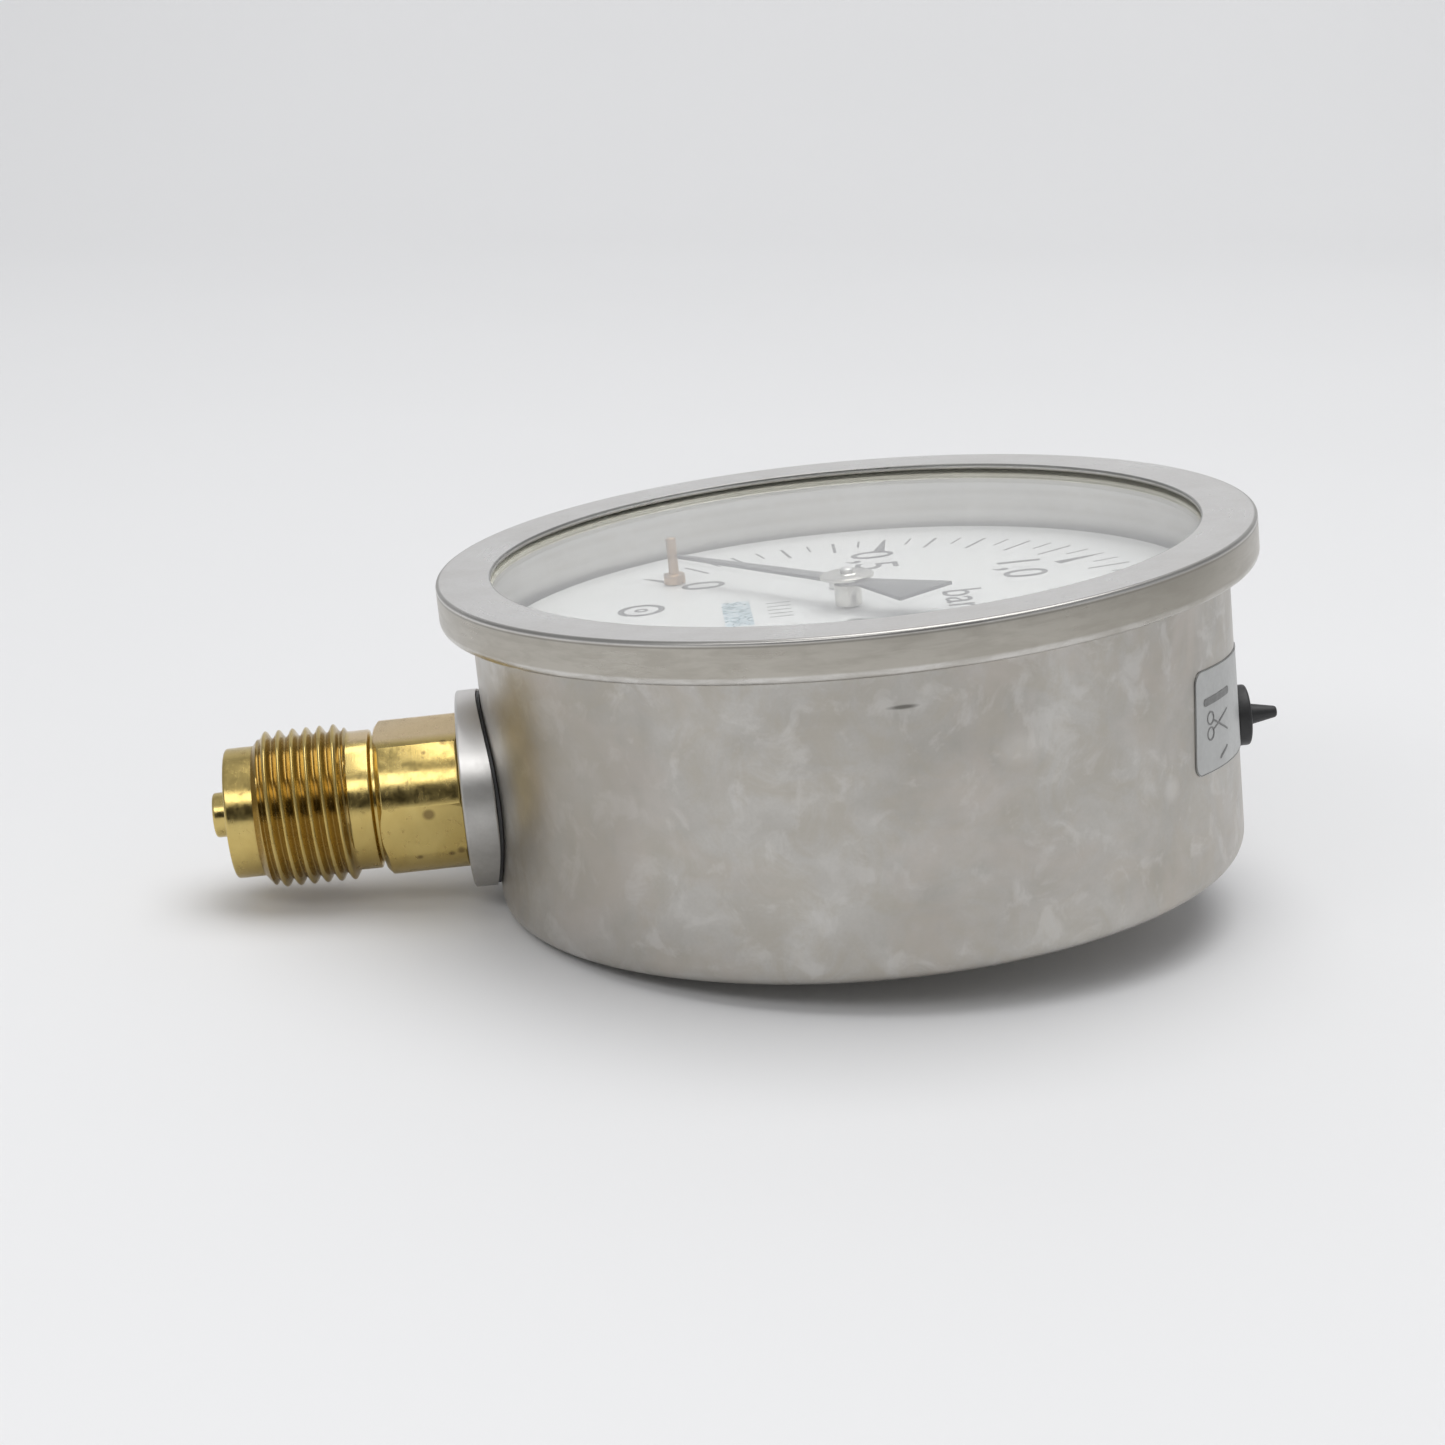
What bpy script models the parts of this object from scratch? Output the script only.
"""Pressure gauge, nominal size 100 mm, lying on its back.

Frame: +Z is the dial's axis and points out of the window, the stem (6 o'clock) points along -X and the vent
plug (12 o'clock) along +X. The origin is the centre of the raised boss on the back of the case.
"""

import math

import bmesh
import bpy
from mathutils import Matrix, Vector

MM = 0.001
GAP = 0.15 * MM  # between two pieces that rest on each other
ROUND_STEPS = 60
SMALL_STEPS = 20
BEND_STEPS = 4
HOLE_STEPS = 12
FINE_EDGE = 0.15 * MM  # chamfer on small turned pieces

# Case, ring and window
CASE_RADIUS = 50.0 * MM
CASE_WALL = 0.8 * MM
BACK_HEIGHT = 2.9 * MM  # the case's bottom above the boss's rest face
BOSS_RADIUS = 19.0 * MM
BOSS_FOOT_RADIUS = 22.5 * MM
CASE_FILLET = 2.6 * MM
RING_TOP = BACK_HEIGHT + 44.8 * MM
RING_RADIUS = 54.04 * MM
RING_LIP_RADIUS = 46.8 * MM
RING_HEIGHT = 5.55 * MM
RING_SHEET = 0.75 * MM
RING_EDGE = 0.45 * MM
RING_HEM_RADIUS = CASE_RADIUS + 0.6 * MM
RING_HEM_BEND = 0.9 * MM
FLANGE_RADIUS = 52.8 * MM
FLANGE_SHEET = 0.75 * MM
FLANGE_BOTTOM = RING_TOP - RING_HEIGHT + RING_SHEET + GAP
SEAL_INNER_RADIUS = 46.9 * MM
SEAL_OUTER_RADIUS = 52.2 * MM
SEAL_THICKNESS = 0.55 * MM
SEAL_BOTTOM = FLANGE_BOTTOM + FLANGE_SHEET + GAP
WINDOW_RADIUS = 52.4 * MM
WINDOW_THICKNESS = 2.0 * MM
WINDOW_BOTTOM = SEAL_BOTTOM + SEAL_THICKNESS + GAP

# Dial, stop pin and pointer
DIAL_TOP = BACK_HEIGHT + 33.8 * MM
DIAL_THICKNESS = 0.8 * MM
DIAL_BOTTOM = DIAL_TOP - DIAL_THICKNESS
DIAL_RADIUS = 47.6 * MM
DIAL_HOLE_RADIUS = 1.05 * MM
DIAL_SCREW_OFFSET = 12.0 * MM
DIAL_SCREW_HEAD_RADIUS = 1.7 * MM
DIAL_SCREW_HEAD_HEIGHT = 0.9 * MM
DIAL_SCREW_SHANK_RADIUS = 0.9 * MM
DIAL_SCREW_HOLE_RADIUS = 1.15 * MM
STOP_PIN_ANGLE = math.radians(132.2)
STOP_PIN_DISTANCE = 33.3 * MM
STOP_PIN_RADIUS = 0.7 * MM
STOP_PIN_HEIGHT = 6.6 * MM
STOP_COLLAR_RADIUS = 1.5 * MM
STOP_COLLAR_HEIGHT = 1.4 * MM
POINTER_REST = math.radians(130.1)
POINTER_BOTTOM = DIAL_TOP + 3.4 * MM
POINTER_THICKNESS = 0.5 * MM
POINTER_LENGTH = 34.6 * MM
POINTER_TIP_HALF = 0.3 * MM
POINTER_NECK = 3.2 * MM
POINTER_NECK_HALF = 1.35 * MM
POINTER_TAIL = 14.5 * MM
POINTER_TAIL_HALF = 4.9 * MM
HUB_RADIUS = 3.6 * MM
HUB_SLEEVE_RADIUS = 1.8 * MM
HUB_THICKNESS = 0.7 * MM
ARBOR_TIP_RADIUS = 0.85 * MM
ARBOR_TIP_HEIGHT = 0.6 * MM

# Stem, measured along its own axis from the dial's axis
STEM_HEIGHT = BACK_HEIGHT + 16.06 * MM
STEM_TIP = 87.0 * MM
STEM_CHAMFER = 0.4 * MM
SPIGOT_RADIUS = 3.0 * MM
SPIGOT_LENGTH = 2.3 * MM
LEAD_RADIUS = 8.7 * MM
LEAD_LENGTH = 3.8 * MM
THREAD_CREST = 10.4775 * MM  # G 1/2 B
THREAD_ROOT = 9.32 * MM
THREAD_PITCH = 1.814 * MM
THREAD_TURNS = 7
COLLAR_RADIUS = 9.3 * MM
COLLAR_LENGTH = 2.85 * MM
GROOVE_LENGTH = 0.7 * MM
SQUARE_ACROSS_FLATS = 19.25 * MM
SQUARE_CORNER_RADIUS = 10.3 * MM
SQUARE_CORNER_STEPS = 6
SQUARE_TURN = math.radians(-14.6)
SQUARE_INNER_END = 53.6 * MM
NECK_RADIUS = 8.5 * MM
NECK_END = 46.0 * MM
FOOT_OUTER = 46.7 * MM
CHANNEL_RADIUS = 1.5 * MM
STEM_FLANGE_RADIUS = 13.2 * MM
STEM_FLANGE_OUTER = 53.35 * MM
STEM_FLANGE_INNER = 48.9 * MM
FLANGE_BORE_RADIUS = NECK_RADIUS + 0.2 * MM
GASKET_RADIUS = 12.9 * MM
GASKET_BED_RADIUS = CASE_RADIUS + 0.1 * MM  # curved like the case
GASKET_FACE_RADIUS = CASE_RADIUS + 0.5 * MM
FLANGE_SADDLE_RADIUS = CASE_RADIUS + 0.6 * MM
SCREW_OFFSET = 11.0 * MM
SCREW_HOLE_RADIUS = 1.35 * MM
SCREW_SHANK_RADIUS = 1.15 * MM
SCREW_HEAD_RADIUS = 2.1 * MM
SCREW_HEAD_HEIGHT = 1.4 * MM
FOOT_INNER = 44.4 * MM
FOOT_HALF_WIDTH = 13.6 * MM
FOOT_HALF_HEIGHT = 4.2 * MM
BLOCK_INNER = 22.0 * MM
BLOCK_HALF_WIDTH = 7.6 * MM
BLOCK_LOW = STEM_HEIGHT - 6.5 * MM
BLOCK_HIGH = STEM_HEIGHT + 5.6 * MM
TONGUE_END = 6.0 * MM
TONGUE_HALF_WIDTH = 9.0 * MM
TONGUE_THICKNESS = 3.0 * MM
TONGUE_TOP = BLOCK_HIGH + 0.6 * MM

# Vent plug and label
PLUG_HEIGHT = BACK_HEIGHT + 14.84 * MM
PLUG_HOLE_RADIUS = 2.9 * MM
PLUG_NECK_RADIUS = 2.7 * MM
PLUG_HEAD_RADIUS = 4.1 * MM
PLUG_HEAD_INNER = CASE_RADIUS + 0.25 * MM
PLUG_HEAD_OUTER = CASE_RADIUS + 2.1 * MM
PLUG_NIPPLE_RADIUS = 1.45 * MM
PLUG_NIPPLE_TIP_RADIUS = 0.7 * MM
PLUG_NIPPLE_END = CASE_RADIUS + 6.1 * MM
PLUG_INNER_END = CASE_RADIUS - 3.2 * MM
LABEL_INNER_RADIUS = CASE_RADIUS + 0.12 * MM
LABEL_OUTER_RADIUS = CASE_RADIUS + 0.27 * MM
LABEL_ARC = -19.36 * MM  # its middle, round the case from the vent plug
LABEL_HEIGHT = 24.23 * MM
LABEL_TILT = math.radians(-5.5)
LABEL_HALF_LENGTH = 13.3 * MM
LABEL_HALF_HEIGHT = 6.7 * MM
LABEL_CORNER = 1.6 * MM

# Movement
PLATE_SHEET = 1.2 * MM
LOWER_PLATE_BOTTOM = TONGUE_TOP + 0.25 * MM
UPPER_PLATE_TOP = DIAL_BOTTOM - 0.25 * MM
PLATE_LOW_X = -23.5 * MM
PLATE_HIGH_X = 8.5 * MM
PLATE_HALF_WIDTH = 15.0 * MM
PLATE_CORNER = 3.0 * MM
PILLAR_PLACES = ((5.0 * MM, 11.5 * MM), (5.0 * MM, -11.5 * MM), (-20.0 * MM, 12.0 * MM))
PILLAR_RADIUS = 2.0 * MM
PILLAR_PIN_RADIUS = 1.1 * MM
MOVEMENT_SCREW_HEAD_RADIUS = 1.8 * MM
MOVEMENT_SCREW_HEAD_HEIGHT = 1.1 * MM
MOVEMENT_SCREW_SHANK_RADIUS = 0.95 * MM
MOVEMENT_SCREW_HOLE_RADIUS = 1.1 * MM
MOVEMENT_SCREW_PLACES = ((-9.0 * MM, 5.5 * MM), (-9.0 * MM, -5.5 * MM))
GEAR_RATIO = 10.0
SECTOR_SWING = math.radians(27.0)
PINION_TEETH = 12
PINION_PITCH_RADIUS = 1.8 * MM
SECTOR_PITCH_RADIUS = PINION_PITCH_RADIUS * GEAR_RATIO
TOOTH_ADDENDUM = 0.2 * MM
TOOTH_DEDENDUM = 0.36 * MM
SECTOR_TOOTH_ROOT_HALF = math.radians(0.8)
SECTOR_TOOTH_TIP_HALF = math.radians(0.3)
PINION_TOOTH_ROOT_HALF = math.radians(6.5)
PINION_TOOTH_TIP_HALF = math.radians(2.6)
SECTOR_SPARE_TEETH = 3
SECTOR_PLACE_ANGLE = math.radians(171.05)
SECTOR_BOTTOM = LOWER_PLATE_BOTTOM + 3.4 * MM
SECTOR_SHEET = 1.4 * MM
SECTOR_HUB_RADIUS = 3.4 * MM
SECTOR_SHAFT_RADIUS = 1.2 * MM
SECTOR_PIVOT_RADIUS = 0.6 * MM
TAIL_HALF_WIDTH = 2.0 * MM
TAIL_SPREAD = math.radians(36.0)
ARM_SPREAD = math.radians(40.0)
TAIL_VECTOR_AT_MIDDLE = Vector((-6.93 * MM, -4.0 * MM))
LINK_BOTTOM = SECTOR_BOTTOM + SECTOR_SHEET + 0.2 * MM
LINK_SHEET = 0.8 * MM
LINK_HALF_WIDTH = 1.6 * MM
LINK_PIN_RADIUS = 0.6 * MM
LINK_HOLE_RADIUS = 0.68 * MM
LINK_OPEN_HOLE_RADIUS = 0.95 * MM
LINK_HEAD_RADIUS = 1.3 * MM
LINK_HEAD_HEIGHT = 0.6 * MM
PINION_BOTTOM = SECTOR_BOTTOM - 0.6 * MM
PINION_TOP = SECTOR_BOTTOM + SECTOR_SHEET + 0.6 * MM
ARBOR_RADIUS = 0.75 * MM
ARBOR_HOLE_RADIUS = 0.83 * MM
ARBOR_PIVOT_RADIUS = 0.5 * MM
COLLET_RADIUS = 1.7 * MM
COLLET_BOTTOM = PINION_TOP + 0.3 * MM
COLLET_HEIGHT = 1.1 * MM
HAIRSPRING_TURNS = 4.0
HAIRSPRING_INNER = 2.0 * MM
HAIRSPRING_OUTER = 6.6 * MM
HAIRSPRING_HALF_THICKNESS = 0.1 * MM
HAIRSPRING_HALF_HEIGHT = 0.35 * MM
HAIRSPRING_STEPS_PER_TURN = 18
STUD_RADIUS = 0.9 * MM

# Bourdon tube
TUBE_RADIUS = 33.0 * MM
TUBE_ROOT_ANGLE = math.radians(165.0)
TUBE_TIP_ANGLE = math.radians(-115.0)
TUBE_HALF_HEIGHT = 5.4 * MM
TUBE_HALF_THICKNESS = 2.0 * MM
TUBE_WALL = 0.5 * MM
TUBE_STEPS = 36
TUBE_SECTION_POINTS = 12
TUBE_END_ANGLE = math.radians(-122.0)
TIP_PIVOT = Vector((33.0 * MM, 0.0))
TIP_PIN_AT_MIDDLE = Vector((-12.0 * MM, -26.0 * MM))
TIP_SWING = math.radians(4.1146)
END_PIECE_RADIUS = 2.5 * MM
END_EAR_RADIUS = 2.1 * MM

PARTS_COLLECTION = "pressure_gauge"
CUTTER_COLLECTION = "gauge_cutters"


def empty_the_scene():
    for thing in list(bpy.data.objects):
        bpy.data.objects.remove(thing, do_unlink=True)


def new_collection(name):
    collection = bpy.data.collections.get(name) or bpy.data.collections.new(name)
    if name not in bpy.context.scene.collection.children:
        bpy.context.scene.collection.children.link(collection)
    return collection


def material(name, colour, roughness, metallic):
    found = bpy.data.materials.new(name)
    found.use_nodes = True
    shader = found.node_tree.nodes["Principled BSDF"]
    shader.inputs["Base Color"].default_value = (*colour, 1.0)
    shader.inputs["Roughness"].default_value = roughness
    shader.inputs["Metallic"].default_value = metallic
    found.diffuse_color = (*colour, 1.0)
    return found


def place(thing, finish=None, parent=None):
    """Put an object in the gauge's collection, with its material and parent."""
    for collection in list(thing.users_collection):
        collection.objects.unlink(thing)
    parts.objects.link(thing)
    if finish is not None:
        thing.data.materials.clear()
        thing.data.materials.append(finish)
    thing.parent = parent
    return thing


def as_cutter(thing):
    """Move an object to the cutters: it shapes other pieces and isn't one itself."""
    for collection in list(thing.users_collection):
        collection.objects.unlink(thing)
    cutters.objects.link(thing)
    thing.hide_render = True
    thing.display_type = "WIRE"
    return thing


def combine(thing, other, operation):
    modifier = thing.modifiers.new(operation.lower(), "BOOLEAN")
    modifier.operation = operation
    modifier.object = as_cutter(other)
    modifier.solver = "EXACT"


def axis_empty(name, location, turn=(0.0, 0.0, 0.0), parent=None):
    thing = bpy.data.objects.new(name, None)
    thing.location = location
    thing.rotation_euler = turn
    return place(thing, parent=parent)


def turned(name, profile, finish, steps=ROUND_STEPS, closed=False, parent=None, location=(0.0, 0.0, 0.0)):
    """A turned piece: (radius, height) points run down the outer side, then up the inner side if closed."""
    mesh = bpy.data.meshes.new(name)
    count = len(profile)
    edges = [(i, i + 1) for i in range(count - 1)]
    if closed:
        edges.append((count - 1, 0))
    mesh.from_pydata([(radius, 0.0, height) for radius, height in profile], edges, [])
    thing = place(bpy.data.objects.new(name, mesh), finish, parent)
    thing.location = location
    screw = thing.modifiers.new("turn", "SCREW")
    screw.axis = "Z"
    screw.steps = steps
    screw.render_steps = steps
    screw.use_merge_vertices = True
    screw.merge_threshold = 0.000001
    screw.use_smooth_shade = True
    return thing


def flat_curve(name, outlines, low, high):
    curve = bpy.data.curves.new(name, "CURVE")
    curve.dimensions = "2D"
    curve.fill_mode = "BOTH"
    curve.extrude = (high - low) / 2
    for outline in outlines:
        spline = curve.splines.new("POLY")
        spline.points.add(len(outline) - 1)
        for point, (x, y) in zip(spline.points, outline):
            point.co = (x, y, 0.0, 1.0)
        spline.use_cyclic_u = True
    return curve


def flat(name, outlines, low, high, finish, parent=None):
    """A sheet piece: the first outline is its edge and the others are holes."""
    thing = bpy.data.objects.new(name, flat_curve(name, outlines, low, high))
    place(thing, finish, parent)
    thing.location = (0.0, 0.0, (low + high) / 2)
    return thing


def as_mesh(thing):
    """Replace a curve object by a welded mesh object, so that a Boolean can use it."""
    bpy.context.view_layer.update()
    evaluated = thing.evaluated_get(bpy.context.evaluated_depsgraph_get())
    mesh = bpy.data.meshes.new_from_object(evaluated)
    shape = bmesh.new()
    shape.from_mesh(mesh)
    bmesh.ops.remove_doubles(shape, verts=shape.verts, dist=0.000001)
    bmesh.ops.recalc_face_normals(shape, faces=shape.faces)
    shape.to_mesh(mesh)
    shape.free()
    name = thing.name
    solid = bpy.data.objects.new(name + "_mesh", mesh)
    parts.objects.link(solid)
    solid.matrix_world = thing.matrix_world.copy()
    bpy.data.objects.remove(thing, do_unlink=True)
    solid.name = name
    return solid


def cylinder(name, radius, start, end, steps=SMALL_STEPS):
    """A plain cylinder between two points, used as a cutter."""
    start, end = Vector(start), Vector(end)
    direction = end - start
    turn = direction.to_track_quat("Z", "Y").to_euler()
    bpy.ops.mesh.primitive_cylinder_add(
        vertices=steps, radius=radius, depth=direction.length, location=(start + end) / 2, rotation=turn
    )
    thing = bpy.context.object
    thing.name = name
    return thing


def box(name, low, high):
    """A plain box between two corners."""
    low, high = Vector(low), Vector(high)
    bpy.ops.mesh.primitive_cube_add(size=1.0, location=(low + high) / 2)
    thing = bpy.context.object
    thing.name = name
    thing.data.transform(Matrix.Diagonal((*(high - low), 1.0)))
    return thing


def circle(radius, centre=(0.0, 0.0), steps=SMALL_STEPS):
    return arc(radius, 0.0, 2 * math.pi * (steps - 1) / steps, steps, centre)


def arc(radius, start, end, steps, centre=(0.0, 0.0)):
    angles = [start + (end - start) * i / (steps - 1) for i in range(steps)]
    return [(centre[0] + radius * math.cos(a), centre[1] + radius * math.sin(a)) for a in angles]


def rounded_rectangle(low_x, high_x, low_y, high_y, corner):
    outline = []
    corners = (
        (high_x - corner, high_y - corner, 0),
        (low_x + corner, high_y - corner, 1),
        (low_x + corner, low_y + corner, 2),
        (high_x - corner, low_y + corner, 3),
    )
    for x, y, quarter in corners:
        outline += arc(corner, quarter * math.pi / 2, (quarter + 1) * math.pi / 2, BEND_STEPS + 1, (x, y))
    return outline


def stadium(first, second, first_radius, second_radius):
    """A bar with a round end at each of two points."""
    heading = math.atan2(second[1] - first[1], second[0] - first[0])
    quarter = math.pi / 2
    return arc(second_radius, heading - quarter, heading + quarter, 9, second) + arc(
        first_radius, heading + quarter, heading + 3 * quarter, 9, first
    )


def bend(radius, start, end, centre, steps=BEND_STEPS):
    """Points of a fillet in a turned profile, from one angle to another."""
    return arc(radius, start, end, steps + 1, centre)


def rotated(vector, angle):
    return Matrix.Rotation(angle, 2) @ vector


def swept(name, sections, finish):
    """A closed skin through rings of points, capped at its first and last ring."""
    shape = bmesh.new()
    rings = [[shape.verts.new(point) for point in section] for section in sections]
    for ring, following in zip(rings, rings[1:]):
        for i in range(len(ring)):
            j = (i + 1) % len(ring)
            shape.faces.new((ring[i], ring[j], following[j], following[i]))
    shape.faces.new(rings[0][::-1])
    shape.faces.new(rings[-1])
    bmesh.ops.recalc_face_normals(shape, faces=shape.faces)
    mesh = bpy.data.meshes.new(name)
    shape.to_mesh(mesh)
    shape.free()
    mesh.shade_smooth()
    mesh.set_sharp_from_angle(angle=math.radians(40))
    return place(bpy.data.objects.new(name, mesh), finish)


# Where the linkage stands at rest, worked out from its middle position
sector_place = rotated(Vector((SECTOR_PITCH_RADIUS + PINION_PITCH_RADIUS, 0.0)), SECTOR_PLACE_ANGLE)
sector_to_pinion = SECTOR_PLACE_ANGLE + math.pi
tail_vector = rotated(TAIL_VECTOR_AT_MIDDLE, -SECTOR_SWING / 2)
tail_pin_place = sector_place + tail_vector
tip_pin_place = TIP_PIVOT + rotated(TIP_PIN_AT_MIDDLE - TIP_PIVOT, -TIP_SWING / 2)


def make_case():
    quarter = math.pi / 2
    low = BACK_HEIGHT
    inner = CASE_RADIUS - CASE_WALL
    fillet = CASE_FILLET
    profile = [(inner, FLANGE_BOTTOM + FLANGE_SHEET), (FLANGE_RADIUS, FLANGE_BOTTOM + FLANGE_SHEET)]
    profile += [(FLANGE_RADIUS, FLANGE_BOTTOM), (CASE_RADIUS, FLANGE_BOTTOM)]
    profile += bend(fillet, 0.0, -quarter, (CASE_RADIUS - fillet, low + fillet))
    profile += [(BOSS_FOOT_RADIUS, low), (BOSS_RADIUS, 0.0), (0.0, 0.0)]
    outer_count = len(profile)
    profile += [(0.0, CASE_WALL), (BOSS_RADIUS - CASE_WALL / 2, CASE_WALL)]
    profile += [(BOSS_FOOT_RADIUS - CASE_WALL / 2, low + CASE_WALL)]
    profile += bend(fillet - CASE_WALL, -quarter, 0.0, (CASE_RADIUS - fillet, low + fillet))
    # The outer and inner skins meet at the mouth; both end on the axis.
    profile = profile[outer_count:] + profile[:outer_count]
    case = turned("case", profile, steel, closed=False)
    stem_hole = cylinder(
        "stem_hole",
        NECK_RADIUS + 0.3 * MM,
        (-CASE_RADIUS - 3 * MM, 0.0, STEM_HEIGHT),
        (-CASE_RADIUS + 6 * MM, 0.0, STEM_HEIGHT),
        32,
    )
    combine(case, stem_hole, "DIFFERENCE")
    for side in (-1, 1):
        y = side * SCREW_OFFSET
        hole = cylinder(
            f"case_screw_hole_{side}",
            SCREW_HOLE_RADIUS,
            (-CASE_RADIUS - 3 * MM, y, STEM_HEIGHT),
            (-CASE_RADIUS + 6 * MM, y, STEM_HEIGHT),
            12,
        )
        combine(case, hole, "DIFFERENCE")
    vent = cylinder(
        "vent_hole",
        PLUG_HOLE_RADIUS,
        (CASE_RADIUS - 4 * MM, 0.0, PLUG_HEIGHT),
        (CASE_RADIUS + 3 * MM, 0.0, PLUG_HEIGHT),
        SMALL_STEPS,
    )
    combine(case, vent, "DIFFERENCE")


def make_bezel_ring():
    quarter = math.pi / 2
    low = RING_TOP - RING_HEIGHT
    inner_wall = RING_RADIUS - RING_SHEET
    profile = [(RING_LIP_RADIUS, RING_TOP - RING_SHEET), (RING_LIP_RADIUS, RING_TOP - 0.15 * MM)]
    profile += [(RING_LIP_RADIUS + 0.15 * MM, RING_TOP)]
    profile += bend(RING_EDGE, quarter, 0.0, (RING_RADIUS - RING_EDGE, RING_TOP - RING_EDGE), 2)
    profile += bend(RING_HEM_BEND, 0.0, -quarter, (RING_RADIUS - RING_HEM_BEND, low + RING_HEM_BEND), 2)
    profile += [(RING_HEM_RADIUS, low), (RING_HEM_RADIUS, low + RING_SHEET)]
    profile += [(inner_wall, low + RING_SHEET), (inner_wall, RING_TOP - RING_SHEET)]
    turned("bezel_ring", profile, ring_steel, closed=True)


def make_window():
    low = WINDOW_BOTTOM
    high = low + WINDOW_THICKNESS
    chamfer = 0.25 * MM
    edge = WINDOW_RADIUS
    profile = [(0.0, high), (edge - chamfer, high), (edge, high - chamfer), (edge, low + chamfer)]
    profile += [(edge - chamfer, low), (0.0, low)]
    turned("window", profile, clear)
    top = SEAL_BOTTOM + SEAL_THICKNESS
    seal = [(SEAL_INNER_RADIUS, top), (SEAL_OUTER_RADIUS, top)]
    seal += [(SEAL_OUTER_RADIUS, SEAL_BOTTOM), (SEAL_INNER_RADIUS, SEAL_BOTTOM)]
    turned("window_seal", seal, cream, closed=True)


def screw_profile(head_radius, head_top, head_bottom, shank_radius, end):
    chamfer = 0.2 * MM
    return [
        (0.0, head_top),
        (head_radius - chamfer, head_top),
        (head_radius, head_top - chamfer),
        (head_radius, head_bottom),
        (shank_radius, head_bottom),
        (shank_radius, end),
        (0.0, end),
    ]


def stop_pin_centre():
    return rotated(Vector((STOP_PIN_DISTANCE, 0.0)), STOP_PIN_ANGLE)


def make_dial():
    pin = stop_pin_centre()
    holes = [circle(DIAL_HOLE_RADIUS), circle(STOP_PIN_RADIUS + FINE_EDGE, pin, HOLE_STEPS)]
    for side in (-1, 1):
        holes.append(circle(DIAL_SCREW_HOLE_RADIUS, (0.0, side * DIAL_SCREW_OFFSET), HOLE_STEPS))
    flat("dial", [circle(DIAL_RADIUS, steps=ROUND_STEPS)] + holes, DIAL_BOTTOM, DIAL_TOP, dial_white)
    for number, side in ((1, 1), (2, -1)):
        profile = screw_profile(
            DIAL_SCREW_HEAD_RADIUS,
            DIAL_TOP + DIAL_SCREW_HEAD_HEIGHT,
            DIAL_TOP + GAP,
            DIAL_SCREW_SHANK_RADIUS,
            UPPER_PLATE_TOP - 1 * MM,
        )
        place_of_screw = (0.0, side * DIAL_SCREW_OFFSET, 0.0)
        turned(f"dial_screw_{number}", profile, zinc, SMALL_STEPS, location=place_of_screw)
    collar_low = DIAL_TOP + GAP
    collar_high = collar_low + STOP_COLLAR_HEIGHT
    pin_top = DIAL_TOP + STOP_PIN_HEIGHT
    profile = [
        (0.0, pin_top),
        (STOP_PIN_RADIUS - FINE_EDGE, pin_top),
        (STOP_PIN_RADIUS, pin_top - FINE_EDGE),
        (STOP_PIN_RADIUS, collar_high),
        (STOP_COLLAR_RADIUS - FINE_EDGE, collar_high),
        (STOP_COLLAR_RADIUS, collar_high - FINE_EDGE),
        (STOP_COLLAR_RADIUS, collar_low),
        (STOP_PIN_RADIUS, collar_low),
        (STOP_PIN_RADIUS, DIAL_BOTTOM - 0.1 * MM),
        (0.0, DIAL_BOTTOM - 0.1 * MM),
    ]
    turned("stop_pin", profile, brass, SMALL_STEPS, location=(pin.x, pin.y, 0.0))


def make_pointer():
    outline = [(POINTER_LENGTH, -POINTER_TIP_HALF), (POINTER_LENGTH, POINTER_TIP_HALF)]
    outline += [(POINTER_NECK, POINTER_NECK_HALF), (-POINTER_NECK, POINTER_NECK_HALF)]
    outline += [(-POINTER_TAIL, POINTER_TAIL_HALF), (-POINTER_TAIL, -POINTER_TAIL_HALF)]
    outline += [(-POINTER_NECK, -POINTER_NECK_HALF), (POINTER_NECK, -POINTER_NECK_HALF)]
    low = POINTER_BOTTOM
    high = low + POINTER_THICKNESS
    blade_hole = ARBOR_RADIUS + 0.15 * MM
    flat("pointer", [outline, circle(blade_hole)], low, high, black, pointer_axis)
    # The hub is a disc on the blade; the sleeve under the blade carries it.
    top = high + GAP + HUB_THICKNESS
    hub_bottom = high + GAP
    bore = ARBOR_RADIUS + 0.1 * MM
    profile = [(bore, top), (HUB_RADIUS - 0.2 * MM, top), (HUB_RADIUS, top - 0.2 * MM)]
    profile += [(HUB_RADIUS, hub_bottom), (bore, hub_bottom)]
    turned("pointer_hub", profile, nickel, 32, closed=True, parent=pointer_axis)
    sleeve_top = low - GAP
    sleeve_bottom = DIAL_TOP + 0.35 * MM
    profile = [(bore, sleeve_top), (HUB_SLEEVE_RADIUS, sleeve_top)]
    profile += [(HUB_SLEEVE_RADIUS, sleeve_bottom), (bore, sleeve_bottom)]
    turned("pointer_sleeve", profile, nickel, SMALL_STEPS, closed=True, parent=pointer_axis)
    return top


def toothed_arc(angles, tip_radius, root_radius, root_half, tip_half):
    points = []
    for angle in angles:
        for radius, offset in (
            (root_radius, -root_half),
            (tip_radius, -tip_half),
            (tip_radius, tip_half),
            (root_radius, root_half),
        ):
            points.append((radius * math.cos(angle + offset), radius * math.sin(angle + offset)))
    return points


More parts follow.
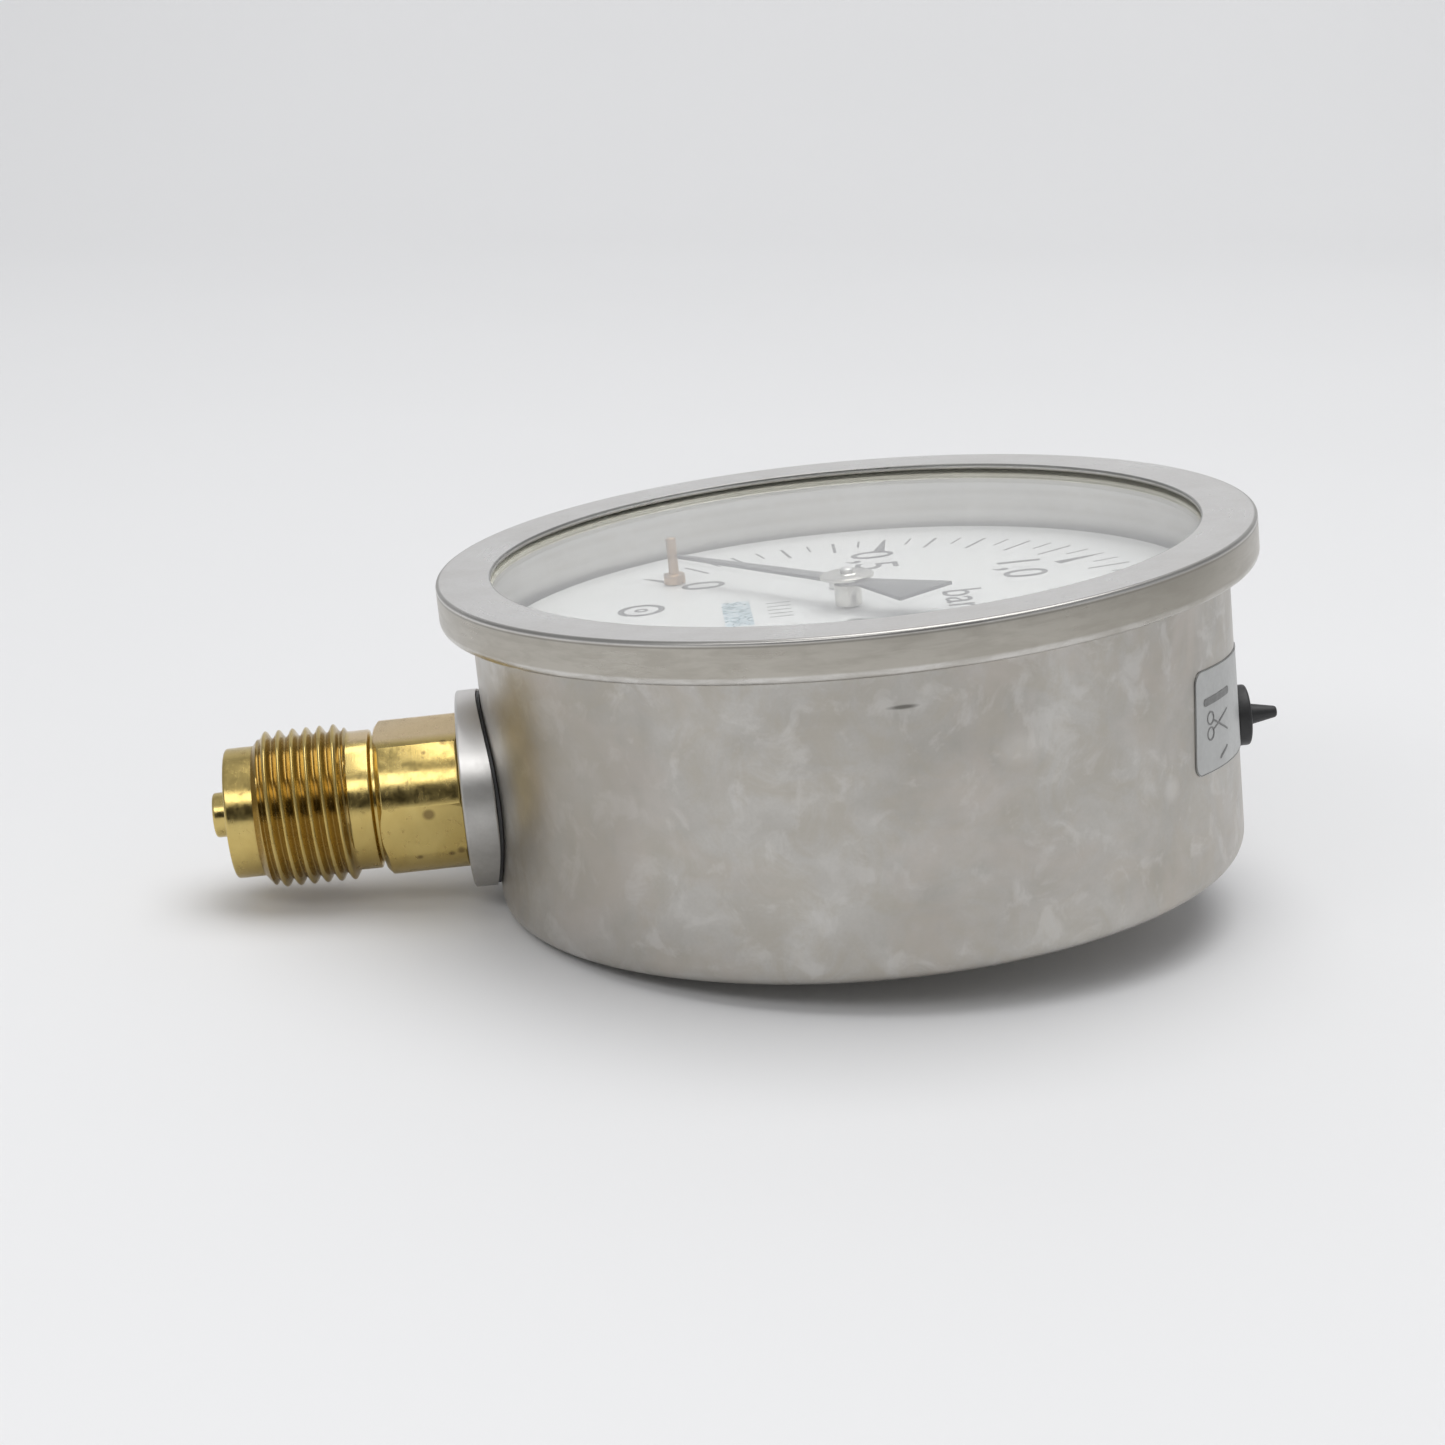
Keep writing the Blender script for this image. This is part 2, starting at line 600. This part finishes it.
def make_pinion(hub_top):
    """The arbor is turned; its pinion is an outline joined to it. One tooth faces the sector at rest."""
    low = LOWER_PLATE_BOTTOM + 0.2 * MM
    shoulder = LOWER_PLATE_BOTTOM + PLATE_SHEET + 0.25 * MM
    top = hub_top + ARBOR_TIP_HEIGHT
    profile = [(0.0, top), (ARBOR_TIP_RADIUS - 0.2 * MM, top), (ARBOR_TIP_RADIUS, top - 0.2 * MM)]
    profile += [(ARBOR_TIP_RADIUS, hub_top + GAP), (ARBOR_RADIUS, hub_top + GAP)]
    profile += [(ARBOR_RADIUS, shoulder), (ARBOR_PIVOT_RADIUS, shoulder), (ARBOR_PIVOT_RADIUS, low)]
    profile += [(0.0, low)]
    arbor = turned("pinion_arbor", profile, zinc, SMALL_STEPS)
    pitch = 2 * math.pi / PINION_TEETH
    teeth = toothed_arc(
        [SECTOR_PLACE_ANGLE + pitch * k for k in range(PINION_TEETH)],
        PINION_PITCH_RADIUS + 0.9 * TOOTH_ADDENDUM,
        PINION_PITCH_RADIUS - 0.94 * TOOTH_DEDENDUM,
        PINION_TOOTH_ROOT_HALF,
        PINION_TOOTH_TIP_HALF,
    )
    gear = as_mesh(flat("pinion_teeth", [teeth], PINION_BOTTOM, PINION_TOP, zinc))
    combine(arbor, gear, "UNION")
    arbor.parent = arbor_axis
    bore = ARBOR_RADIUS + 0.1 * MM
    collet_top = COLLET_BOTTOM + COLLET_HEIGHT
    profile = [(bore, collet_top), (COLLET_RADIUS, collet_top)]
    profile += [(COLLET_RADIUS, COLLET_BOTTOM), (bore, COLLET_BOTTOM)]
    turned("hairspring_collet", profile, brass, SMALL_STEPS, closed=True, parent=arbor_axis)


def make_hairspring():
    """A flat spiral from the collet to the stud."""
    middle = COLLET_BOTTOM + COLLET_HEIGHT / 2
    count = int(HAIRSPRING_TURNS * HAIRSPRING_STEPS_PER_TURN)
    sections = []
    for i in range(count + 1):
        share = i / count
        radius = HAIRSPRING_INNER + (HAIRSPRING_OUTER - HAIRSPRING_INNER) * share
        angle = 2 * math.pi * HAIRSPRING_TURNS * share
        section = []
        for across, up in ((-1, -1), (1, -1), (1, 1), (-1, 1)):
            r = radius + across * HAIRSPRING_HALF_THICKNESS
            height = middle + up * HAIRSPRING_HALF_HEIGHT
            section.append((r * math.cos(angle), r * math.sin(angle), height))
        sections.append(section)
    swept("hairspring", sections, spring_bronze)
    stud_x = HAIRSPRING_OUTER + HAIRSPRING_HALF_THICKNESS + STUD_RADIUS + 0.15 * MM
    stud_top = UPPER_PLATE_TOP - PLATE_SHEET - GAP
    stud_low = middle - HAIRSPRING_HALF_HEIGHT
    profile = [(0.0, stud_top), (STUD_RADIUS, stud_top), (STUD_RADIUS, stud_low), (0.0, stud_low)]
    turned("hairspring_stud", profile, brass, SMALL_STEPS, location=(stud_x, 0.0, 0.0))


def make_sector():
    """Outline about the sector's own pivot, in its rest position."""
    tooth = math.radians(360.0 / (PINION_TEETH * GEAR_RATIO))
    swing_teeth = round(SECTOR_SWING / tooth)
    numbers = range(-swing_teeth - SECTOR_SPARE_TEETH, SECTOR_SPARE_TEETH)
    teeth_angles = [sector_to_pinion + (k + 0.5) * tooth for k in numbers]
    teeth = toothed_arc(
        teeth_angles,
        SECTOR_PITCH_RADIUS + TOOTH_ADDENDUM,
        SECTOR_PITCH_RADIUS - TOOTH_DEDENDUM,
        SECTOR_TOOTH_ROOT_HALF,
        SECTOR_TOOTH_TIP_HALF,
    )
    full = 2 * math.pi
    quarter = math.pi / 2
    tail_heading = math.atan2(tail_vector.y, tail_vector.x) % full
    outline = list(teeth)
    outline += arc(
        SECTOR_HUB_RADIUS, teeth_angles[-1] - full + ARM_SPREAD, tail_heading - TAIL_SPREAD, 6
    )
    outline += arc(TAIL_HALF_WIDTH, tail_heading - quarter, tail_heading + quarter, 9, tail_vector)
    outline += arc(SECTOR_HUB_RADIUS, tail_heading + TAIL_SPREAD, teeth_angles[0] - ARM_SPREAD, 6)
    holes = [circle(SECTOR_SHAFT_RADIUS + 0.1 * MM), circle(LINK_PIN_RADIUS + 0.1 * MM, tail_vector, 12)]
    top = SECTOR_BOTTOM + SECTOR_SHEET
    flat("sector_gear", [outline] + holes, SECTOR_BOTTOM, top, brass, sector_axis)
    low_pivot = LOWER_PLATE_BOTTOM + 0.2 * MM
    low_shoulder = LOWER_PLATE_BOTTOM + PLATE_SHEET + 0.25 * MM
    high_shoulder = UPPER_PLATE_TOP - PLATE_SHEET - 0.25 * MM
    high_pivot = UPPER_PLATE_TOP - 0.2 * MM
    profile = [(0.0, high_pivot), (SECTOR_PIVOT_RADIUS, high_pivot), (SECTOR_PIVOT_RADIUS, high_shoulder)]
    profile += [(SECTOR_SHAFT_RADIUS, high_shoulder), (SECTOR_SHAFT_RADIUS, low_shoulder)]
    profile += [(SECTOR_PIVOT_RADIUS, low_shoulder), (SECTOR_PIVOT_RADIUS, low_pivot), (0.0, low_pivot)]
    turned("sector_shaft", profile, zinc, SMALL_STEPS, parent=sector_axis)
    pin = link_pin_profile(SECTOR_BOTTOM - 0.6 * MM)
    turned("sector_link_pin", pin, zinc, 12, parent=sector_axis, location=(*tail_vector, 0.0))


def link_pin_profile(low):
    """A headed pin that holds the link down; its shank ends at the given height."""
    head_low = LINK_BOTTOM + LINK_SHEET + 0.2 * MM
    return screw_profile(LINK_HEAD_RADIUS, head_low + LINK_HEAD_HEIGHT, head_low, LINK_PIN_RADIUS, low)


def make_link():
    """The link hinges on the sector's tail pin; its other hole has room round the tip pin."""
    far = tip_pin_place - tail_pin_place
    outline = stadium((0.0, 0.0), far, LINK_HALF_WIDTH, LINK_HALF_WIDTH)
    holes = [circle(LINK_HOLE_RADIUS, steps=16), circle(LINK_OPEN_HOLE_RADIUS, far, 16)]
    flat("link", [outline] + holes, LINK_BOTTOM, LINK_BOTTOM + LINK_SHEET, brass, link_axis)


def make_movement_plates():
    outline = rounded_rectangle(PLATE_LOW_X, PLATE_HIGH_X, -PLATE_HALF_WIDTH, PLATE_HALF_WIDTH, PLATE_CORNER)
    pillar_holes = [circle(PILLAR_PIN_RADIUS + 0.1 * MM, spot, 12) for spot in PILLAR_PLACES]
    sector_hole = circle(SECTOR_PIVOT_RADIUS + 0.08 * MM, sector_place, 16)
    lower_holes = pillar_holes + [sector_hole, circle(ARBOR_PIVOT_RADIUS + 0.08 * MM, steps=16)]
    lower_holes += [circle(1.15 * MM, spot, 12) for spot in MOVEMENT_SCREW_PLACES]
    low = LOWER_PLATE_BOTTOM
    flat("movement_plate_lower", [outline] + lower_holes, low, low + PLATE_SHEET, brass)
    upper_holes = pillar_holes + [sector_hole, circle(ARBOR_HOLE_RADIUS, steps=16)]
    upper_holes += [circle(1.0 * MM, (0.0, side * DIAL_SCREW_OFFSET), 12) for side in (-1, 1)]
    high = UPPER_PLATE_TOP
    flat("movement_plate_upper", [outline] + upper_holes, high - PLATE_SHEET, high, brass)
    for number, (x, y) in enumerate(PILLAR_PLACES, 1):
        shoulder_high = high - PLATE_SHEET - GAP
        shoulder_low = low + PLATE_SHEET + GAP
        profile = [(0.0, high - 0.1 * MM), (PILLAR_PIN_RADIUS, high - 0.1 * MM)]
        profile += [(PILLAR_PIN_RADIUS, shoulder_high), (PILLAR_RADIUS, shoulder_high)]
        profile += [(PILLAR_RADIUS, shoulder_low), (PILLAR_PIN_RADIUS, shoulder_low)]
        profile += [(PILLAR_PIN_RADIUS, low + 0.1 * MM), (0.0, low + 0.1 * MM)]
        turned(f"movement_pillar_{number}", profile, brass, 16, location=(x, y, 0.0))
    head_low = low + PLATE_SHEET + GAP
    for number, (x, y) in enumerate(MOVEMENT_SCREW_PLACES, 1):
        profile = screw_profile(
            MOVEMENT_SCREW_HEAD_RADIUS,
            head_low + MOVEMENT_SCREW_HEAD_HEIGHT,
            head_low,
            MOVEMENT_SCREW_SHANK_RADIUS,
            TONGUE_TOP - 2 * MM,
        )
        turned(f"movement_screw_{number}", profile, zinc, 16, location=(x, y, 0.0))


def tube_section(angle, inset):
    """The flattened oval of the tube at one angle; inset shrinks it to the bore."""
    section = []
    for i in range(TUBE_SECTION_POINTS):
        turn = 2 * math.pi * i / TUBE_SECTION_POINTS
        radius = TUBE_RADIUS + (TUBE_HALF_THICKNESS - inset) * math.cos(turn)
        height = STEM_HEIGHT + (TUBE_HALF_HEIGHT - inset) * math.sin(turn)
        section.append((radius * math.cos(angle), radius * math.sin(angle), height))
    return section


def make_bourdon_tube():
    """Hollow, open where it enters the stem's block and closed at its free end."""
    span = TUBE_TIP_ANGLE - TUBE_ROOT_ANGLE
    angles = [TUBE_ROOT_ANGLE + span * i / TUBE_STEPS for i in range(TUBE_STEPS + 1)]
    bore_end = TUBE_TIP_ANGLE + TUBE_WALL / TUBE_RADIUS
    bore_angles = [a for a in angles if a > bore_end][::-4]
    if bore_angles[-1] != angles[0]:
        bore_angles.append(angles[0])
    sections = [tube_section(angle, TUBE_WALL) for angle in bore_angles]
    sections += [tube_section(angle, 0.0) for angle in angles]
    swept("bourdon_tube", sections, brass)


def make_tube_end():
    """The end piece closes the tube and reaches over it to the link's pin."""
    cap = rotated(Vector((TUBE_RADIUS, 0.0)), TUBE_END_ANGLE)
    low = STEM_HEIGHT - TUBE_HALF_HEIGHT
    ear_low = STEM_HEIGHT + TUBE_HALF_HEIGHT + 0.5 * MM
    ear_high = LINK_BOTTOM - 0.2 * MM
    body = as_mesh(flat("tube_end_piece", [circle(END_PIECE_RADIUS, cap)], low, ear_low + 1 * MM, brass))
    ear_outline = stadium(cap, tip_pin_place, 2.2 * MM, END_EAR_RADIUS)
    ear = as_mesh(flat("end_ear", [ear_outline], ear_low, ear_high, brass))
    combine(body, ear, "UNION")
    hole = cylinder(
        "end_pin_hole",
        LINK_PIN_RADIUS + 0.1 * MM,
        (*tip_pin_place, ear_low - 1 * MM),
        (*tip_pin_place, ear_high + 1 * MM),
        12,
    )
    combine(body, hole, "DIFFERENCE")
    keep_place(body, tip_axis)
    pin = link_pin_profile(ear_low + 0.5 * MM)
    pin_place = tip_pin_place - TIP_PIVOT
    turned("tip_link_pin", pin, zinc, 12, parent=tip_axis, location=(*pin_place, 0.0))


def keep_place(thing, parent):
    """Parent an object without moving it."""
    bpy.context.view_layer.update()
    world = thing.matrix_world.copy()
    thing.parent = parent
    thing.matrix_world = world


def stem_profile():
    """From the spigot's tip to the neck: heights are distances from the dial's axis."""
    shoulder = STEM_TIP - SPIGOT_LENGTH
    thread_end = shoulder - LEAD_LENGTH
    profile = [
        (0.0, STEM_TIP),
        (SPIGOT_RADIUS - STEM_CHAMFER, STEM_TIP),
        (SPIGOT_RADIUS, STEM_TIP - STEM_CHAMFER),
        (SPIGOT_RADIUS, shoulder),
        (LEAD_RADIUS - STEM_CHAMFER, shoulder),
        (LEAD_RADIUS, shoulder - STEM_CHAMFER),
        (LEAD_RADIUS, thread_end),
    ]
    for turn in range(THREAD_TURNS):
        crest = thread_end - (turn + 0.5) * THREAD_PITCH
        profile += [(THREAD_CREST, crest), (THREAD_ROOT, crest - THREAD_PITCH / 2)]
    collar_start = thread_end - THREAD_TURNS * THREAD_PITCH
    collar_end = collar_start - COLLAR_LENGTH
    profile += [(COLLAR_RADIUS, collar_start - 0.1 * MM), (COLLAR_RADIUS, collar_end)]
    profile += [(NECK_RADIUS, collar_end), (NECK_RADIUS, NECK_END), (0.0, NECK_END)]
    return profile, collar_end - GROOVE_LENGTH


def wrench_square():
    """A square with its corners turned off to a circle."""
    flat_end = math.acos(SQUARE_ACROSS_FLATS / 2 / SQUARE_CORNER_RADIUS)
    corner_spread = math.pi / 2 - 2 * flat_end
    outline = []
    for corner in range(4):
        first = SQUARE_TURN + flat_end + corner * math.pi / 2
        for step in range(SQUARE_CORNER_STEPS + 1):
            angle = first + corner_spread * step / SQUARE_CORNER_STEPS
            outline.append((SQUARE_CORNER_RADIUS * math.cos(angle), SQUARE_CORNER_RADIUS * math.sin(angle)))
    return outline


def make_stem():
    profile, square_outer_end = stem_profile()
    stem = turned("stem", profile, brass, 40, parent=stem_axis)
    square = flat("stem_square", [wrench_square()], SQUARE_INNER_END, square_outer_end, brass, stem_axis)
    combine(stem, as_mesh(square), "UNION")
    foot = box(
        "stem_foot",
        (-FOOT_OUTER, -FOOT_HALF_WIDTH, STEM_HEIGHT - FOOT_HALF_HEIGHT),
        (-FOOT_INNER, FOOT_HALF_WIDTH, STEM_HEIGHT + FOOT_HALF_HEIGHT),
    )
    combine(stem, foot, "UNION")
    block = box(
        "stem_block",
        (-FOOT_INNER - 1 * MM, -BLOCK_HALF_WIDTH, BLOCK_LOW),
        (-BLOCK_INNER, BLOCK_HALF_WIDTH, BLOCK_HIGH),
    )
    combine(stem, block, "UNION")
    tongue = box(
        "stem_tongue",
        (-BLOCK_INNER - 6 * MM, -TONGUE_HALF_WIDTH, TONGUE_TOP - TONGUE_THICKNESS),
        (TONGUE_END, TONGUE_HALF_WIDTH, TONGUE_TOP),
    )
    combine(stem, tongue, "UNION")
    channel_end = TUBE_RADIUS + 0.5 * MM
    channel_start = -STEM_TIP - 1 * MM
    channel = cylinder(
        "channel", CHANNEL_RADIUS, (channel_start, 0.0, STEM_HEIGHT), (-channel_end, 0.0, STEM_HEIGHT), 16
    )
    combine(stem, channel, "DIFFERENCE")
    cross_x = -channel_end + CHANNEL_RADIUS * 0.9
    cross = cylinder(
        "cross_channel",
        CHANNEL_RADIUS * 0.8,
        (cross_x, -0.3 * MM, STEM_HEIGHT),
        (cross_x, BLOCK_HALF_WIDTH + 1 * MM, STEM_HEIGHT),
        12,
    )
    combine(stem, cross, "DIFFERENCE")
    for side in (-1, 1):
        y = side * SCREW_OFFSET
        hole = cylinder(
            f"foot_hole_{side}",
            SCREW_HOLE_RADIUS,
            (-FOOT_OUTER - 2 * MM, y, STEM_HEIGHT),
            (-FOOT_INNER + 2 * MM, y, STEM_HEIGHT),
            12,
        )
        combine(stem, hole, "DIFFERENCE")
    for number, (x, y) in enumerate(MOVEMENT_SCREW_PLACES, 1):
        hole = cylinder(
            f"tongue_hole_{number}",
            MOVEMENT_SCREW_HOLE_RADIUS,
            (x, y, TONGUE_TOP - TONGUE_THICKNESS - 1 * MM),
            (x, y, TONGUE_TOP + 1 * MM),
            12,
        )
        combine(stem, hole, "DIFFERENCE")


def upright_cylinder(name, radius):
    """A cutter round the dial's axis, as tall as the gauge."""
    return cylinder(name, radius, (0.0, 0.0, 0.0), (0.0, 0.0, RING_TOP), ROUND_STEPS * 2)


def make_stem_flange():
    chamfer = 0.35 * MM
    outer, inner = STEM_FLANGE_OUTER, STEM_FLANGE_INNER
    edge = STEM_FLANGE_RADIUS
    profile = [(FLANGE_BORE_RADIUS, outer), (edge - chamfer, outer), (edge, outer - chamfer)]
    profile += [(edge, inner), (FLANGE_BORE_RADIUS, inner)]
    flange = turned("stem_flange", profile, steel, 48, closed=True, parent=stem_axis)
    saddle = upright_cylinder("flange_saddle", FLANGE_SADDLE_RADIUS)
    combine(flange, saddle, "DIFFERENCE")
    profile = [(FLANGE_BORE_RADIUS, STEM_FLANGE_OUTER), (GASKET_RADIUS, STEM_FLANGE_OUTER)]
    profile += [(GASKET_RADIUS, FOOT_OUTER), (FLANGE_BORE_RADIUS, FOOT_OUTER)]
    gasket = turned("stem_gasket", profile, rubber, 48, closed=True, parent=stem_axis)
    combine(gasket, upright_cylinder("gasket_bed", GASKET_BED_RADIUS), "DIFFERENCE")
    combine(gasket, upright_cylinder("gasket_face", GASKET_FACE_RADIUS), "INTERSECT")
    for number, side in ((1, 1), (2, -1)):
        y = side * SCREW_OFFSET
        blind_end = -STEM_FLANGE_OUTER + 0.9 * MM
        for piece in (flange, gasket):
            hole = cylinder(
                f"{piece.name}_hole_{number}",
                SCREW_HOLE_RADIUS,
                (blind_end, y, STEM_HEIGHT),
                (-CASE_RADIUS + 6 * MM, y, STEM_HEIGHT),
                12,
            )
            combine(piece, hole, "DIFFERENCE")
        head_low = FOOT_INNER - GAP
        shank_end = STEM_FLANGE_OUTER - 1.3 * MM
        profile = [(0.0, shank_end), (SCREW_SHANK_RADIUS, shank_end), (SCREW_SHANK_RADIUS, head_low)]
        head_top = head_low - SCREW_HEAD_HEIGHT
        profile += [(SCREW_HEAD_RADIUS, head_low), (SCREW_HEAD_RADIUS, head_top), (0.0, head_top)]
        turned(f"flange_screw_{number}", profile, zinc, 16, parent=stem_axis, location=(0.0, y, 0.0))


def make_vent_plug():
    """Local height is the distance from the dial's axis, along +X."""
    profile = [
        (0.0, PLUG_NIPPLE_END),
        (PLUG_NIPPLE_TIP_RADIUS - FINE_EDGE, PLUG_NIPPLE_END),
        (PLUG_NIPPLE_TIP_RADIUS, PLUG_NIPPLE_END - FINE_EDGE),
        (PLUG_NIPPLE_RADIUS, PLUG_HEAD_OUTER),
        (PLUG_HEAD_RADIUS - 2 * FINE_EDGE, PLUG_HEAD_OUTER),
        (PLUG_HEAD_RADIUS, PLUG_HEAD_OUTER - 2 * FINE_EDGE),
        (PLUG_HEAD_RADIUS, PLUG_HEAD_INNER),
        (PLUG_NECK_RADIUS, PLUG_HEAD_INNER),
        (PLUG_NECK_RADIUS, PLUG_INNER_END + 0.5 * MM),
        (PLUG_NECK_RADIUS - 0.5 * MM, PLUG_INNER_END),
        (0.0, PLUG_INNER_END),
    ]
    turned("vent_plug", profile, rubber, 24, parent=plug_axis)


def make_label():
    """A foil label on the case beside the vent plug: a thin ring cut to a rounded rectangle, a little askew."""
    reach = LABEL_HALF_HEIGHT + 3 * MM
    low, high = LABEL_HEIGHT - reach, LABEL_HEIGHT + reach
    profile = [(LABEL_INNER_RADIUS, high), (LABEL_OUTER_RADIUS, high)]
    profile += [(LABEL_OUTER_RADIUS, low), (LABEL_INNER_RADIUS, low)]
    label = turned("case_label", profile, foil, ROUND_STEPS, closed=True)
    corners = rounded_rectangle(
        -LABEL_HALF_LENGTH, LABEL_HALF_LENGTH, -LABEL_HALF_HEIGHT, LABEL_HALF_HEIGHT, LABEL_CORNER
    )
    outline = []
    for point in corners:
        along, up = rotated(Vector(point), LABEL_TILT)
        y = LABEL_OUTER_RADIUS * math.sin((LABEL_ARC + along) / LABEL_OUTER_RADIUS)
        outline.append((PLUG_HEIGHT - LABEL_HEIGHT - up, y))
    edge = flat("label_edge", [outline], CASE_RADIUS * 0.7, CASE_RADIUS + 2 * MM, foil, plug_axis)
    combine(label, as_mesh(edge), "INTERSECT")


empty_the_scene()
parts = new_collection(PARTS_COLLECTION)
cutters = new_collection(CUTTER_COLLECTION)

steel = material("case_steel", (0.42, 0.40, 0.37), 0.45, 1.0)
ring_steel = material("ring_steel", (0.56, 0.55, 0.54), 0.35, 1.0)
zinc = material("plated_steel", (0.60, 0.60, 0.58), 0.35, 1.0)
nickel = material("nickel_plate", (0.62, 0.60, 0.55), 0.30, 1.0)
brass = material("brass", (0.60, 0.42, 0.12), 0.30, 1.0)
spring_bronze = material("spring_bronze", (0.55, 0.33, 0.16), 0.35, 1.0)
rubber = material("black_rubber", (0.02, 0.02, 0.02), 0.60, 0.0)
cream = material("cream_rubber", (0.70, 0.66, 0.54), 0.55, 0.0)
clear = material("clear_pane", (0.90, 0.92, 0.92), 0.05, 0.0)
dial_white = material("dial_white", (0.85, 0.85, 0.84), 0.50, 0.0)
black = material("pointer_black", (0.03, 0.03, 0.03), 0.50, 0.0)
foil = material("label_foil", (0.60, 0.60, 0.58), 0.45, 0.6)

stem_axis = axis_empty("stem_axis", (0.0, 0.0, STEM_HEIGHT), (0.0, -math.pi / 2, 0.0))
plug_axis = axis_empty("plug_axis", (0.0, 0.0, PLUG_HEIGHT), (0.0, math.pi / 2, 0.0))
pointer_axis = axis_empty("pointer_axis", (0.0, 0.0, 0.0), (0.0, 0.0, POINTER_REST))
arbor_axis = axis_empty("arbor_axis", (0.0, 0.0, 0.0))
sector_axis = axis_empty("sector_axis", (*sector_place, 0.0))
link_axis = axis_empty("link_axis", (*tail_pin_place, 0.0))
tip_axis = axis_empty("tip_axis", (*TIP_PIVOT, 0.0))

make_case()
make_bezel_ring()
make_window()
make_dial()
make_pinion(make_pointer())
make_hairspring()
make_sector()
make_link()
make_movement_plates()
make_bourdon_tube()
make_tube_end()
make_stem()
make_stem_flange()
make_vent_plug()
make_label()
